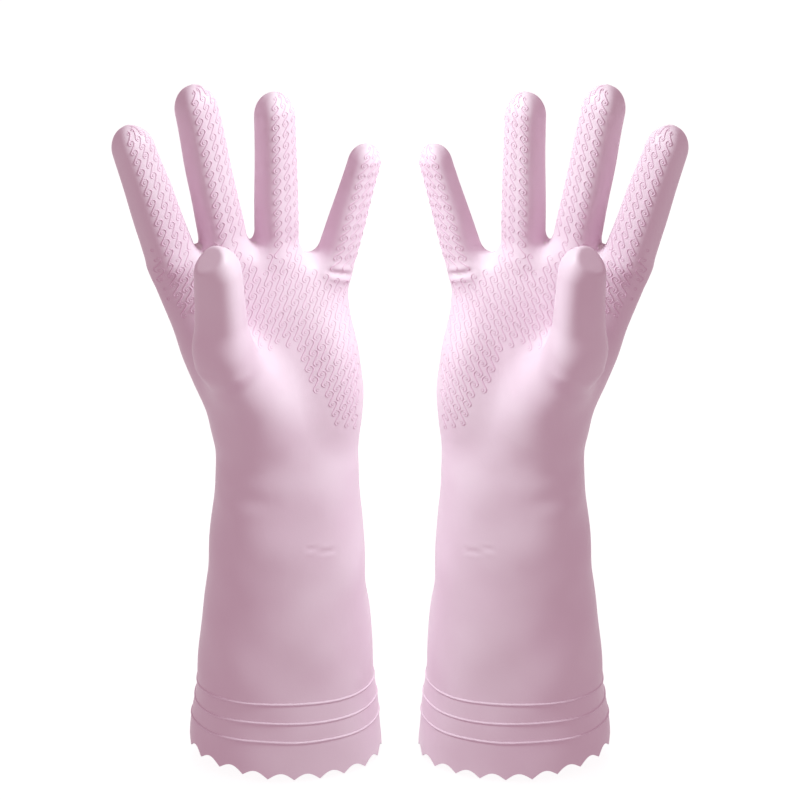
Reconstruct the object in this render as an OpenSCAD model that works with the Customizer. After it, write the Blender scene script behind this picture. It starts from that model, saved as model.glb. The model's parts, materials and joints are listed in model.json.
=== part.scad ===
// A pair of household rubber gloves standing on their open cuffs, palms forward, fingers up.
// Each glove is a thin dipped shell. It is divided where it flexes: at the wrist, at the thumb's
// two joints and at the three joints of each finger. X points to the right, Y to the back of the
// hands and Z up. The origin is on the floor, in the middle of the pair. The right glove is the
// left one mirrored in the plane X = 0.

/* [Pair] */
// Distance between the centres of the two cuff rims
pair_spacing = 110; // [100:1:200]
// Distance between the centres of the two wrists
wrist_spacing = 103.4; // [96:0.2:190]
// Turn of each hand toward the other glove
hand_yaw = 20; // [0:1:30]

/* [Cuff] */
// Height of the wrist's flex line above the floor
wrist_z = 150; // [130:1:180]
// Width of the cuff at its rim
cuff_w = 92; // [80:1:110]
// Depth of the cuff at its rim, front to back
cuff_d = 76; // [60:1:90]
// Width of the wrist
wrist_w = 64; // [58:1:76]
// Depth of the wrist, front to back
wrist_d = 48; // [42:1:60]
// Number of pinked teeth round the rim
teeth = 22; // [16:1:28]
// Depth of the pinked teeth
tooth_h = 3; // [2:0.1:5]
// Heights of the three raised beads
bead_z = [18.5, 27.5, 36.7];
// Height of a bead's section
bead_h = 2; // [1.4:0.1:3]
// How far a bead stands out from the cuff
bead_out = 0.9; // [0.6:0.1:1.5]

/* [Rubber] */
// Thickness of the rubber
wall = 0.5; // [0.4:0.05:0.8]
// Thickness of the cotton flock inside it
flock = 0.25; // [0.2:0.05:0.4]
// Open gap left where two segments meet
gap = 0.6; // [0.4:0.1:1]

/* [Fingers] */
// Length of the index finger above its knuckle line
index_len = 58; // [50:1:64]
// Length of the middle finger above its knuckle line
middle_len = 70; // [62:1:78]
// Length of the ring finger above its knuckle line
ring_len = 68; // [60:1:76]
// Length of the little finger above its knuckle line
little_len = 54; // [44:1:56]
// Length of the thumb above its root
thumb_len = 53; // [46:1:60]
// Forward tilt of the four fingers
finger_tilt = 6; // [0:1:10]
// Forward tilt of the thumb
thumb_tilt = 15; // [12:1:20]

/* [Bending] */
// How far a wrist bends each way
wrist_bend = 20; // [10:1:30]
// How far a knuckle bends toward the palm
knuckle_bend = 45; // [20:1:50]
// How far a knuckle bends backward
knuckle_back = 10; // [0:1:12]
// How far a finger's middle joint bends
middle_bend = 65; // [20:1:70]
// How far a finger's end joint bends
end_bend = 39; // [10:1:42]
// How far the thumb opens away from the fingers
thumb_open = 50; // [20:1:55]
// How far the thumb closes toward the palm
thumb_close = 10; // [0:1:12]
// How far the thumb's end joint bends toward the palm
thumb_bend = 25; // [10:1:30]

/* [Hidden] */

LEFT = 0;
RIGHT = 1;
// The cuffs' centres lie this far behind the pair's middle, because the thumbs reach forward
cuff_y = 11.27;
rubber = "pink";
rubber_inside = "mistyrose";

// Points round a cuff or palm section, round a finger section, and round the pinked rim
hand_pts = 36;
finger_pts = 20;
rim_pts = teeth * 4;

// The cuff narrows faster below this height than above it, and its section turns only above it
cuff_knee_z = 72;
// Share of the flare that is left at that height
cuff_knee = 0.47;
// The beads sit this far off the cuff's sections, so that they clear its flat facets
bead_seat = 0.03;
// Where the rim band ends and where the lining begins, above the floor
rim_band_z = 9;
lining_z = 14;

// Knuckle line: its highest point, how far that lies from the wrist's centre, its droop and spread
knuckle_z = 251;
knuckle_s = -30;
knuckle_droop = 14;
knuckle_spread = 30;

// Palm stations: share of the height from the wrist to the knuckle line, centre, width and depth
palm_stations = [
    [0.00,   0.0, wrist_w, wrist_d],
    [0.15,   0.0, 69, 46],
    [0.33,  -3.3, 77, 41],
    [0.52,  -7.5, 82, 36],
    [0.74, -12.0, 86, 31],
    [0.90, -14.5, 93, 27]
];
// Rounding of the palm's top edge: share of the height, then how far the sides and faces draw in
palm_shoulder = [[0.97, 1, 1.2], [1.00, 3, 3.2]];

// Fingers: place along the knuckle line, lean from upright, length, width at the root and tip
INDEX = [-52.5, -18, index_len, 22, 17.6];
MIDDLE = [-28, -11.5, middle_len, 20.8, 18.2];
RING = [-3, -2, ring_len, 20.4, 17.8];
LITTLE = [24, 15.5, little_len, 18.4, 14.8];
// Depth of a finger's section as a share of its width
finger_depth = 0.9;
// A finger's middle and end joints, as shares of its length
finger_joints = [0.36, 0.68];
// Hinge lines lie this share of the half depth toward the palm from a finger's centre
hinge_share = 0.32;
// Height of a finger's root above the knuckle line, and how far forward its clear room reaches
root_lift = 0.8;
seat_reach = 4;

// Thumb: where its root is in the hand, its lean, its turn about its own axis, and its widths
thumb_root = [-37, -29, 206];
thumb_lean = -6;
thumb_turn = 150;
thumb_w = [23.5, 19.5];
thumb_joint = 0.5;
thumb_hinge = 4;
// The mound at the thumb's root starts from a ball of this radius inside the palm
mound_at = [-15, -5, 172];
mound_r = 16;

// Share of a finger's length that its rounded end takes, per unit of its end width
tip_round = 0.62;

function mix(a, b, t) = a + (b - a) * t;
function ease(t) = let(c = min(max(t, 0), 1)) c * c * (3 - 2 * c);
function turn(p, angle) = [
    p.x * cos(angle) - p.y * sin(angle),
    p.x * sin(angle) + p.y * cos(angle)
];
// A point round an oval that is slightly squarer than an ellipse
function oval(a, b, t, power = 2.2) = [
    a * sign(cos(t)) * pow(abs(cos(t)), 2 / power),
    b * sign(sin(t)) * pow(abs(sin(t)), 2 / power)
];
// How far an end is cut back at a point, so that a bend of the given angle closes without touching
function cut_back(p, toward, hinge, closing, opening) =
    let(q = p.x * toward.x + p.y * toward.y - hinge)
    gap / 2 + max(q, 0) * tan(closing) + max(-q, 0) * tan(opening);

// The cuff at a height, and the palm at a share of its height
function cuff_fall(z) = lookup(z, [[0, 1], [cuff_knee_z, cuff_knee], [wrist_z, 0]]);
function cuff_x(z) = -mix(wrist_spacing, pair_spacing, cuff_fall(z)) / 2;
function cuff_turn(z) = hand_yaw * ease((z - cuff_knee_z) / (wrist_z - cuff_knee_z));
function cuff_size(z) = [mix(wrist_w, cuff_w, cuff_fall(z)), mix(wrist_d, cuff_d, cuff_fall(z))];
function cuff_point(z, t, inset) =
    let(size = cuff_size(z), p = turn(oval(size.x / 2 - inset, size.y / 2 - inset, t), cuff_turn(z)))
    [p.x + cuff_x(z), p.y, z];
function station(share, column) = lookup(share, [for (row = palm_stations) [row[0], row[column]]]);
function knuckle_height(s) =
    knuckle_z - knuckle_droop * (sqrt(1 + pow((s - knuckle_s) / knuckle_spread, 2)) - 1);
function palm_point(share, draw, t, inset) =
    let(p = oval(station(share, 2) / 2 - draw.x - inset, station(share, 3) / 2 - draw.y - inset, t),
        s = p.x + station(share, 1))
    [s, p.y, mix(wrist_z, knuckle_height(s) - inset, share)];

// Strips that close a ring of n points, from each point to the one across from it
function lid(n) = concat(
    [for (i = [0 : n / 2 - 2]) [i, i + 1, n - i - 1]],
    [for (i = [1 : n / 2 - 1]) [i, n - i - 1, n - i]]
);

// Joins rings of points, bottom to top, into one closed solid
module loft(rings) {
    n = len(rings[0]);
    last = len(rings) - 1;
    polyhedron(
        points = [for (ring = rings) each ring],
        faces = concat(
            lid(n),
            [for (k = [0 : last - 1], i = [0 : n - 1]) let(j = (i + 1) % n)
                each [[k * n + i, (k + 1) * n + i, (k + 1) * n + j],
                      [k * n + i, (k + 1) * n + j, k * n + j]]],
            [for (f = lid(n)) [last * n + f[2], last * n + f[1], last * n + f[0]]]
        ),
        convexity = 6
    );
}

// Joins rings of points into a closed loop: up the outside of a tube and down its inside.
// Both walls are divided along the same diagonals, so they stay parallel.
module tube(outer, inner) {
    n = len(outer[0]);
    rings = concat(outer, [for (k = [len(inner) - 1 : -1 : 0]) inner[k]]);
    count = len(rings);
    polyhedron(
        points = [for (ring = rings) each ring],
        faces = [for (k = [0 : count - 1], i = [0 : n - 1])
            let(j = (i + 1) % n, a = k * n, b = ((k + 1) % count) * n)
            each (k < len(outer)
                ? [[a + i, b + i, b + j], [a + i, b + j, a + j]]
                : [[a + i, b + i, a + j], [b + i, b + j, a + j]])],
        convexity = 6
    );
}

// Places the left glove's parts, or mirrors them for the right glove
module on_side(side) {
    translate([0, cuff_y, 0]) {
        if (side == RIGHT) {
            mirror([1, 0, 0]) children();
        } else {
            children();
        }
    }
}

// The hand's frame: its origin is on the floor below the wrist and its front is the palm
module in_hand() {
    translate([-wrist_spacing / 2, 0, 0]) rotate([0, 0, hand_yaw]) children();
}

// ---- Cuff ----

function cuff_ring(z, inset) = [for (i = [0 : hand_pts - 1]) cuff_point(z, 360 * i / hand_pts, inset)];
// The cuff's top is cut back front and rear, so that the wrist can bend both ways
function cuff_top_ring(inset) = [
    for (i = [0 : hand_pts - 1])
    let(t = 360 * i / hand_pts, p = oval(wrist_w / 2 - inset, wrist_d / 2 - inset, t),
        cut = cut_back(p, [0, -1], 0, wrist_bend / 2, wrist_bend / 2))
    cuff_point(wrist_z - cut, t, inset)
];

module cuff_wall(from_z, inset, thickness) {
    heights = concat(
        from_z < lining_z ? [from_z] : [],
        [lining_z, cuff_knee_z, mix(cuff_knee_z, wrist_z, 0.5), wrist_z - 14]
    );
    tube(
        concat([for (z = heights) cuff_ring(z, inset)], [cuff_top_ring(inset)]),
        concat([for (z = heights) cuff_ring(z, inset + thickness)], [cuff_top_ring(inset + thickness)])
    );
}

module cuff(side) {
    color(rubber) on_side(side) cuff_wall(rim_band_z, 0, wall);
}

module cuff_lining(side) {
    color(rubber_inside) on_side(side) cuff_wall(lining_z, wall, flock);
}

// The rim's lower edge is pinked: points down, with round arches between them
function tooth_z(i) = tooth_h * abs(sin(180 * i / 4));
function rim_ring(z, inset, pinked) = [
    for (i = [0 : rim_pts - 1])
    let(p = cuff_point(z, 360 * i / rim_pts, inset))
    [p.x, p.y, pinked ? p.z + tooth_z(i) : p.z]
];

module cuff_rim(side) {
    color(rubber) on_side(side) tube(
        [rim_ring(0, 0, true), rim_ring(rim_band_z, 0, false)],
        [rim_ring(0, wall, true), rim_ring(rim_band_z, wall, false)]
    );
}

// One bead: a rib of half-round section that stands out from the cuff
function bead_ring(z, out) = [
    for (i = [0 : hand_pts - 1]) cuff_point(z, 360 * i / hand_pts, -out)
];
module bead(z) {
    tube(
        [bead_ring(z - bead_h / 2, bead_seat), bead_ring(z - bead_h / 4, bead_out)],
        [bead_ring(z + bead_h / 2, bead_seat), bead_ring(z + bead_h / 4, bead_out)]
    );
}

module cuff_beads(side) {
    color(rubber) on_side(side) {
        for (z = bead_z) {
            bead(z);
        }
    }
}

// ---- Palm ----

function palm_ring(share, draw, inset) = [
    for (i = [0 : hand_pts - 1]) palm_point(share, draw, 360 * i / hand_pts, inset)
];
function palm_foot_ring(inset, drop) = [
    for (i = [0 : hand_pts - 1])
    let(p = oval(wrist_w / 2 - inset, wrist_d / 2 - inset, 360 * i / hand_pts))
    [p.x, p.y, wrist_z + cut_back(p, [0, -1], 0, wrist_bend / 2, wrist_bend / 2) - drop]
];

module palm_solid(inset, drop) {
    loft(concat(
        drop > 0 ? [palm_foot_ring(inset, drop)] : [],
        [palm_foot_ring(inset, 0)],
        [for (k = [1 : len(palm_stations) - 1]) palm_ring(palm_stations[k][0], [0, 0], inset)],
        [for (row = palm_shoulder) palm_ring(row[0], [row[1], row[2]], inset)]
    ));
}

module in_thumb() {
    translate(thumb_root) rotate([thumb_tilt, thumb_lean, 0]) rotate([0, 0, thumb_turn]) children();
}

function thumb_oval(grow) = [
    for (i = [0 : finger_pts - 1])
    oval(thumb_w[0] / 2 + grow, thumb_w[0] * finger_depth / 2 + grow, 360 * i / finger_pts, 2)
];

// The mound that carries the thumb, up to just past the thumb's root
module mound_solid(inset) {
    hull() {
        translate(mound_at) sphere(r = mound_r - inset, $fn = 24);
        in_thumb() linear_extrude(gap) polygon(thumb_oval(-inset));
    }
}

module in_finger(finger) {
    translate([finger[0], 0, knuckle_height(finger[0]) + root_lift])
        rotate([finger_tilt, finger[1], 0]) children();
}

// The hole under a finger, and the clear room round its root and in front of it
module finger_mouth(finger, inset) {
    in_finger(finger) {
        translate([0, 0, -12])
            cylinder(h = 24, d = finger[3] * finger_depth - 2 * inset, $fn = 24);
        for (y = [0, -seat_reach]) {
            translate([0, y, -gap / 2]) cylinder(h = 12, d = finger[3] + 2 * gap, $fn = 24);
        }
    }
}

module palm_wall(inset, thickness, mouth_inset) {
    difference() {
        union() {
            palm_solid(inset, 0);
            mound_solid(inset);
        }
        palm_solid(inset + thickness, 8);
        mound_solid(inset + thickness);
        in_thumb() linear_extrude(12) polygon(thumb_oval(gap / 2));
        for (finger = [INDEX, MIDDLE, RING, LITTLE]) {
            finger_mouth(finger, mouth_inset);
        }
    }
}

module palm(side) {
    color(rubber) on_side(side) in_hand() palm_wall(0, wall, wall);
}

module palm_lining(side) {
    color(rubber_inside) on_side(side) in_hand() palm_wall(wall, flock, wall);
}

// ---- Fingers and thumb ----

// A ring across a finger at height z, cut back below (up = 1) or above (up = -1) for a bend
function finger_ring(size, z, inset, up, bend) = [
    for (i = [0 : finger_pts - 1])
    let(p = oval(size.x / 2 - inset, size.y / 2 - inset, 360 * i / finger_pts, 2))
    [p.x, p.y, z + up * cut_back(p, bend[0], bend[1], bend[2], bend[3])]
];
function plain_ring(size, z, inset) = [
    for (i = [0 : finger_pts - 1])
    let(p = oval(size.x / 2 - inset, size.y / 2 - inset, 360 * i / finger_pts, 2))
    [p.x, p.y, z]
];
// A finger's width and depth at a share of its length
function finger_size(widths, share) = let(w = mix(widths[0], widths[1], share)) [w, w * finger_depth];

// An open segment between two joints, each given as [share of the length, bend]
module finger_tube(length, widths, low, high) {
    rings = function (inset) [
        finger_ring(finger_size(widths, low[0]), low[0] * length, inset, 1, low[1]),
        plain_ring(finger_size(widths, (low[0] + high[0]) / 2), (low[0] + high[0]) * length / 2, inset),
        finger_ring(finger_size(widths, high[0]), high[0] * length, inset, -1, high[1])
    ];
    tube(rings(0), rings(wall));
}

// The closed end segment above a joint
module finger_cap(length, widths, low) {
    round_h = widths[1] * tip_round;
    steps = [0, 30, 55, 75];
    rings = function (inset) concat(
        [finger_ring(finger_size(widths, low[0]), low[0] * length, inset, 1, low[1])],
        [for (a = steps)
            let(share = 1 - round_h / length)
            plain_ring(finger_size(widths, share) * cos(a) + [2, 2] * inset * (1 - cos(a)),
                length - round_h + (round_h - inset) * sin(a), inset)]
    );
    outer = rings(0);
    inner = rings(wall);
    n = finger_pts;
    m = len(outer);
    points = concat(
        [for (ring = outer) each ring], [for (ring = inner) each ring],
        [[0, 0, length], [0, 0, length - wall]]
    );
    side = function (k, i, a) [a + k * n + i, a + (k + 1) * n + i, a + (k + 1) * n + (i + 1) % n];
    side2 = function (k, i, a) [a + k * n + i, a + (k + 1) * n + (i + 1) % n, a + k * n + (i + 1) % n];
    flip = function (f) [f[2], f[1], f[0]];
    polyhedron(
        points = points,
        faces = concat(
            [for (k = [0 : m - 2], i = [0 : n - 1]) each [side(k, i, 0), side2(k, i, 0)]],
            [for (k = [0 : m - 2], i = [0 : n - 1]) each [flip(side(k, i, m * n)), flip(side2(k, i, m * n))]],
            [for (i = [0 : n - 1]) let(j = (i + 1) % n, a = (m - 1) * n)
                each [[a + i, 2 * m * n, a + j], [a + m * n + j, 2 * m * n + 1, a + m * n + i]]],
            [for (i = [0 : n - 1]) let(j = (i + 1) % n)
                each [[i, j, m * n + j], [i, m * n + j, m * n + i]]]
        ),
        convexity = 6
    );
}

// Bends: direction of closing, hinge's distance that way, closing and opening angles for one side
palmward = [0, -1];
function hinge_of(widths) = widths[0] * finger_depth / 2 * hinge_share;
function knuckle(widths) = [palmward, hinge_of(widths), knuckle_bend, knuckle_back];
function mid_joint(widths) = [palmward, hinge_of(widths), middle_bend / 2, 0];
function end_joint(widths) = [palmward, hinge_of(widths), end_bend / 2, 0];
function widths_of(finger) = [finger[3], finger[4]];

module finger_base(side, finger) {
    w = widths_of(finger);
    color(rubber) on_side(side) in_hand() in_finger(finger)
        finger_tube(finger[2], w, [0, knuckle(w)], [finger_joints[0], mid_joint(w)]);
}

module finger_middle(side, finger) {
    w = widths_of(finger);
    color(rubber) on_side(side) in_hand() in_finger(finger)
        finger_tube(finger[2], w, [finger_joints[0], mid_joint(w)], [finger_joints[1], end_joint(w)]);
}

module finger_tip(side, finger) {
    w = widths_of(finger);
    color(rubber) on_side(side) in_hand() in_finger(finger)
        finger_cap(finger[2], w, [finger_joints[1], end_joint(w)]);
}

thumb_spread = [[-cos(thumb_turn), sin(thumb_turn)], thumb_hinge, thumb_open, thumb_close];
thumb_fold = [palmward, hinge_of(thumb_w), thumb_bend / 2, thumb_bend / 2];

module thumb_base(side) {
    color(rubber) on_side(side) in_hand() in_thumb()
        finger_tube(thumb_len, thumb_w, [0, thumb_spread], [thumb_joint, thumb_fold]);
}

module thumb_tip(side) {
    color(rubber) on_side(side) in_hand() in_thumb()
        finger_cap(thumb_len, thumb_w, [thumb_joint, thumb_fold]);
}

cuff(LEFT);  // left_cuff
cuff_rim(LEFT);  // left_cuff_rim
cuff_beads(LEFT);  // left_cuff_beads
cuff_lining(LEFT);  // left_cuff_lining
palm(LEFT);  // left_palm
palm_lining(LEFT);  // left_palm_lining
thumb_base(LEFT);  // left_thumb_base
thumb_tip(LEFT);  // left_thumb_tip
finger_base(LEFT, INDEX);  // left_index_finger_base
finger_middle(LEFT, INDEX);  // left_index_finger_middle
finger_tip(LEFT, INDEX);  // left_index_finger_tip
finger_base(LEFT, MIDDLE);  // left_middle_finger_base
finger_middle(LEFT, MIDDLE);  // left_middle_finger_middle
finger_tip(LEFT, MIDDLE);  // left_middle_finger_tip
finger_base(LEFT, RING);  // left_ring_finger_base
finger_middle(LEFT, RING);  // left_ring_finger_middle
finger_tip(LEFT, RING);  // left_ring_finger_tip
finger_base(LEFT, LITTLE);  // left_little_finger_base
finger_middle(LEFT, LITTLE);  // left_little_finger_middle
finger_tip(LEFT, LITTLE);  // left_little_finger_tip
cuff(RIGHT);  // right_cuff
cuff_rim(RIGHT);  // right_cuff_rim
cuff_beads(RIGHT);  // right_cuff_beads
cuff_lining(RIGHT);  // right_cuff_lining
palm(RIGHT);  // right_palm
palm_lining(RIGHT);  // right_palm_lining
thumb_base(RIGHT);  // right_thumb_base
thumb_tip(RIGHT);  // right_thumb_tip
finger_base(RIGHT, INDEX);  // right_index_finger_base
finger_middle(RIGHT, INDEX);  // right_index_finger_middle
finger_tip(RIGHT, INDEX);  // right_index_finger_tip
finger_base(RIGHT, MIDDLE);  // right_middle_finger_base
finger_middle(RIGHT, MIDDLE);  // right_middle_finger_middle
finger_tip(RIGHT, MIDDLE);  // right_middle_finger_tip
finger_base(RIGHT, RING);  // right_ring_finger_base
finger_middle(RIGHT, RING);  // right_ring_finger_middle
finger_tip(RIGHT, RING);  // right_ring_finger_tip
finger_base(RIGHT, LITTLE);  // right_little_finger_base
finger_middle(RIGHT, LITTLE);  // right_little_finger_middle
finger_tip(RIGHT, LITTLE);  // right_little_finger_tip
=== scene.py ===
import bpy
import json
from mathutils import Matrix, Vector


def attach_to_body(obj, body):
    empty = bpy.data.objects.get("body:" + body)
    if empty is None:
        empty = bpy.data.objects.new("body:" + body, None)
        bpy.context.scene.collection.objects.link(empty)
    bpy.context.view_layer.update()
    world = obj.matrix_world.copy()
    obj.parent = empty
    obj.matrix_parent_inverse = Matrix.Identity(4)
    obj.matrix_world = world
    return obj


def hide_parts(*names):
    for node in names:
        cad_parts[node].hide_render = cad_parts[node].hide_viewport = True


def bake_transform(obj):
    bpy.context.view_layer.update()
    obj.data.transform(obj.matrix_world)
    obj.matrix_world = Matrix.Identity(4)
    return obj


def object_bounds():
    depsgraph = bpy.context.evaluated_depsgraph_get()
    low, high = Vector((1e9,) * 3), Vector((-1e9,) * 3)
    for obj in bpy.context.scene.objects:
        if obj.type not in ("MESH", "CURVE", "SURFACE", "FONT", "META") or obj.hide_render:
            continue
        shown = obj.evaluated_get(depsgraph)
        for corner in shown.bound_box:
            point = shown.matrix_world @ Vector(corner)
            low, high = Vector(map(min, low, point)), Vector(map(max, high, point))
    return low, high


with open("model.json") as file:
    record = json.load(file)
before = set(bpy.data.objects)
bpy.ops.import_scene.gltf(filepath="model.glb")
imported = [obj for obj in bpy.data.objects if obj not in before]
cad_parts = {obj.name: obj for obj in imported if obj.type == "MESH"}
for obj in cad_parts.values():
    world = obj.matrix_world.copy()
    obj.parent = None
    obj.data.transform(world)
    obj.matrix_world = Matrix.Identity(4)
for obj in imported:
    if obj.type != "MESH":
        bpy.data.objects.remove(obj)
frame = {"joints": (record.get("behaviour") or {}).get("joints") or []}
cad_box = [list(corner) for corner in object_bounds()]

import json
import math
import bpy
import numpy as np
from mathutils import Euler, Vector

# The visual model of a pair of rubber gloves. The left glove is built in millimetres, in the
# hand's own coordinates (s across the palm, y to the back of the hand, z up from the floor),
# and moved into the frame by the wrist joint's place and axis. The right glove is its mirror
# image. The skin is the zero level of one smooth field, cut into pieces where it must bend.

MM = 0.001
JOINTS = {joint["name"]: joint for joint in frame["joints"]}
WRIST_AT = np.array(JOINTS["left_wrist"]["pos_m"]) / MM
YAW = math.atan2(JOINTS["left_wrist"]["axis"][1], JOINTS["left_wrist"]["axis"][0])

# ---- The shape's measures, in millimetres: the CAD part's, brought closer to the photo ----

WRIST_Z = WRIST_AT[2]
CUFF_SIZE = (92.0, 76.0)
WRIST_SIZE = (64.0, 48.0)
# Half the distance between the gloves' middles, at the floor and at the wrists
HALF_PAIR = 55.0
HALF_WRISTS = -WRIST_AT[0]
# The cuff's flare changes its slope at this height, where this share of the flare is left
KNEE_Z, KNEE = 72.0, 0.47
TEETH, TOOTH_H = 22, 3.0
BEADS_Z = (18.5, 27.5, 36.7)
PALM_H = 101.0
# The palm's sections: share of its height, centre along s, width and depth
STATIONS = np.array([
    (0.00, 0.0, 64, 48), (0.15, 0.0, 69, 46), (0.33, -3.3, 77, 41),
    (0.52, -7.5, 82, 36), (0.74, -12.0, 86, 30), (0.90, -14.5, 92, 22.5),
    (1.02, -14.5, 92, 14), (1.20, -14.5, 92, 11),
])
SQUARENESS = 2.2
# Height of the knuckle line's top, its place along s, and how wide and deep the line's arc is
KNUCKLE_Z, KNUCKLE_S, KNUCKLE_ARC, KNUCKLE_FALL = 251, -30, 30, 14
# The sections of fingers and thumb are rounded squares, turned about their own axes
LIMB_SQUARENESS, LIMB_WIDTH, FINGER_DEPTH = 2.7, 0.955, 0.94
FINGER_TWIST, THUMB_TWIST = 20.0, 138.0
# A limb's end is rounded over this share of its tip's width
TIP_ROUND = 0.62
# Each finger's root along s, lean in degrees, length, and widths at root and tip
FINGERS = {
    "index": (-52.5, -18.0, 59.4, 22.0, 17.6),
    "middle": (-28.0, -11.5, 70.5, 20.8, 18.2),
    "ring": (-3.0, -2.0, 68.8, 19.8, 17.0),
    "little": (24.0, 15.5, 54.6, 17.8, 13.5),
}
WALL, FLOCK = 0.5, 0.25


def ease(t):
    t = np.clip(t, 0, 1)
    return t * t * (3 - 2 * t)


def knuckle_height(s):
    return KNUCKLE_Z - KNUCKLE_FALL * (np.sqrt(1 + ((s - KNUCKLE_S) / KNUCKLE_ARC) ** 2) - 1)


def turned(x, y, z):
    """The matrix that turns about X, then Y, then Z, in degrees."""
    return np.array(Euler([math.radians(angle) for angle in (x, y, z)]).to_matrix())


HAND = turned(0, 0, math.degrees(YAW))


def to_world(p):
    return (np.asarray(p) @ HAND.T + [WRIST_AT[0], WRIST_AT[1], 0]) * MM


# ---- The field ----

# The table's rows are this far apart, and are smoothed by a bell curve this many rows wide,
# cut off at this many rows
TABLE_STEP, SMOOTH_ROWS, SMOOTH_REACH = 0.5, 9.0, 30


def section_table():
    """Height, centre, half sizes and turn of the sections, smoothed where their slopes change."""
    z = np.arange(-20.0, WRIST_Z + 1.2 * PALM_H, TABLE_STEP)
    below = np.clip(-z, 0, None) * (1 - KNEE) / KNEE_Z
    flare = np.clip(np.interp(z, [0, KNEE_Z, WRIST_Z], [1, KNEE, 0]) + below, 0, None)
    share = np.clip((z - WRIST_Z) / PALM_H, 0, None)
    middle, width, depth = (np.interp(share, STATIONS[:, 0], STATIONS[:, k]) for k in (1, 2, 3))
    shift = (HALF_WRISTS - HALF_PAIR) * flare
    turn = YAW * (ease((z - KNEE_Z) / (WRIST_Z - KNEE_Z)) - 1)
    columns = [
        shift * math.cos(YAW) + middle,
        -shift * math.sin(YAW),
        (width + (CUFF_SIZE[0] - WRIST_SIZE[0]) * flare) / 2,
        (depth + (CUFF_SIZE[1] - WRIST_SIZE[1]) * flare) / 2,
        turn,
    ]
    kernel = np.exp(-0.5 * (np.arange(-SMOOTH_REACH, SMOOTH_REACH + 1) / SMOOTH_ROWS) ** 2)
    kernel /= kernel.sum()
    smooth = []
    for column in columns:
        padded = np.concatenate([
            column[0] - (column[1] - column[0]) * np.arange(SMOOTH_REACH, 0, -1),
            column,
            np.full(SMOOTH_REACH, column[-1]),
        ])
        smooth.append(np.convolve(padded, kernel, "valid"))
    return z, smooth


TABLE_Z, TABLE = section_table()


def section_at(height):
    return [np.interp(height, TABLE_Z, column) for column in TABLE]


def union(a, b, k):
    h = np.clip(k - np.abs(a - b), 0, None) / k
    return np.minimum(a, b) - h * h * k / 4


# Widths over which the parts of the shape melt into each other
WEB_MELT, MOUND_MELT, HEEL_MELT, FACET_MELT, FINGERS_MELT, LIMB_MELT = 8, 12, 10, 0.9, 3, 7
# How far the palm's top lies below the knuckle line: places along s, and the drops there
WEB_DROP = ((-62.0, -40.0, -15.0, 11.0, 34.0), (5.5, 5.0, 2.4, 0.6, 0.5))


def body_field(p):
    """The cuff and the palm."""
    s, y, z = p.T
    top = knuckle_height(s)
    height = np.where(z < WRIST_Z, z, WRIST_Z + (z - WRIST_Z) * PALM_H / (top - WRIST_Z))
    centre, back, a, b, turn = section_at(height)
    c, q = np.cos(turn), np.sin(turn)
    u = ((s - centre) * c + (y - back) * q) / a
    v = ((y - back) * c - (s - centre) * q) / b
    g = np.maximum((np.abs(u) ** SQUARENESS + np.abs(v) ** SQUARENESS) ** (1 / SQUARENESS), 0.2)
    slope = np.hypot(
        np.abs(u / g) ** (SQUARENESS - 1) / a, np.abs(v / g) ** (SQUARENESS - 1) / b
    )
    web = top - np.interp(s, *WEB_DROP)
    return -union(-(g - 1) / np.maximum(slope, 1e-3), web - z, WEB_MELT)


class Limb:
    """A finger or thumb: a tapered tube, a rounded square in section, with a rounded end."""

    def __init__(self, origin, axes, length, root, tip):
        self.origin, self.axes = np.array(origin, float), axes.T
        self.length, self.root, self.tip = length, root, tip
        self.round = tip * TIP_ROUND

    def local(self, p):
        return (p - self.origin) @ self.axes.T

    def at(self, x, y, t):
        return self.origin + np.stack(np.broadcast_arrays(x, y, t), -1) @ self.axes

    def field(self, p):
        x, y, t = self.local(p).T
        a = (self.root + (self.tip - self.root) * np.clip(t / self.length, 0, 1)) * LIMB_WIDTH / 2
        b = a * FINGER_DEPTH
        n = LIMB_SQUARENESS
        u, v = np.abs(x / a), np.abs(y / b)
        r = np.maximum((u ** n + v ** n) ** (1 / n), 1e-3)
        up = np.clip((t - self.length + self.round) / self.round, 0, None)
        down = np.clip((-4 - t) / 8, 0, None)
        g = np.maximum(np.sqrt(r ** 2 + up ** 2 + down ** 2), 0.2)
        around = np.hypot((u / r) ** (n - 1) / a, (v / r) ** (n - 1) / b) * r
        slope = np.sqrt(around ** 2 + (up / self.round) ** 2 + (down / 8) ** 2) / g
        return (g - 1) / np.maximum(slope, 1e-3)


# Fingers lean forward by this angle and start this much above the knuckle line
FINGER_PITCH, FINGER_START = 6, 0.8
LIMBS = {
    name: Limb(
        (s, 0, knuckle_height(s) + FINGER_START),
        turned(FINGER_PITCH, lean, 0) @ turned(0, 0, FINGER_TWIST), length, root, tip,
    )
    for name, (s, lean, length, root, tip) in FINGERS.items()
}
THUMB = Limb((-37, -29, 206), turned(15, -6, 0) @ turned(0, 0, THUMB_TWIST), 53.8, 23.5, 19.5)
# The thumb's end is flattened where it faces up, this far from the middle of its round end
THUMB_FACET, FACET_DEPTH = np.array([-0.68, -0.42, 0.60]), 8.5
THUMB_FACET /= np.linalg.norm(THUMB_FACET)
THUMB_FACET_AT = THUMB.at(0, 0, THUMB.length - THUMB.round) + THUMB_FACET * FACET_DEPTH
# The thumb's mound runs from the palm to the thumb's root, with these radii at its two ends
MOUND_FROM, MOUND_R = np.array([-15.0, -6.0, 170.0]), (17.0, 11.4)
MOUND_TO = THUMB.at(0, 0, 3.0)
# The pad on the little finger's side of the palm: an ellipsoid's centre and half sizes
HEEL = ((17, -4, 180), (15, 16.5, 32))
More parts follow.
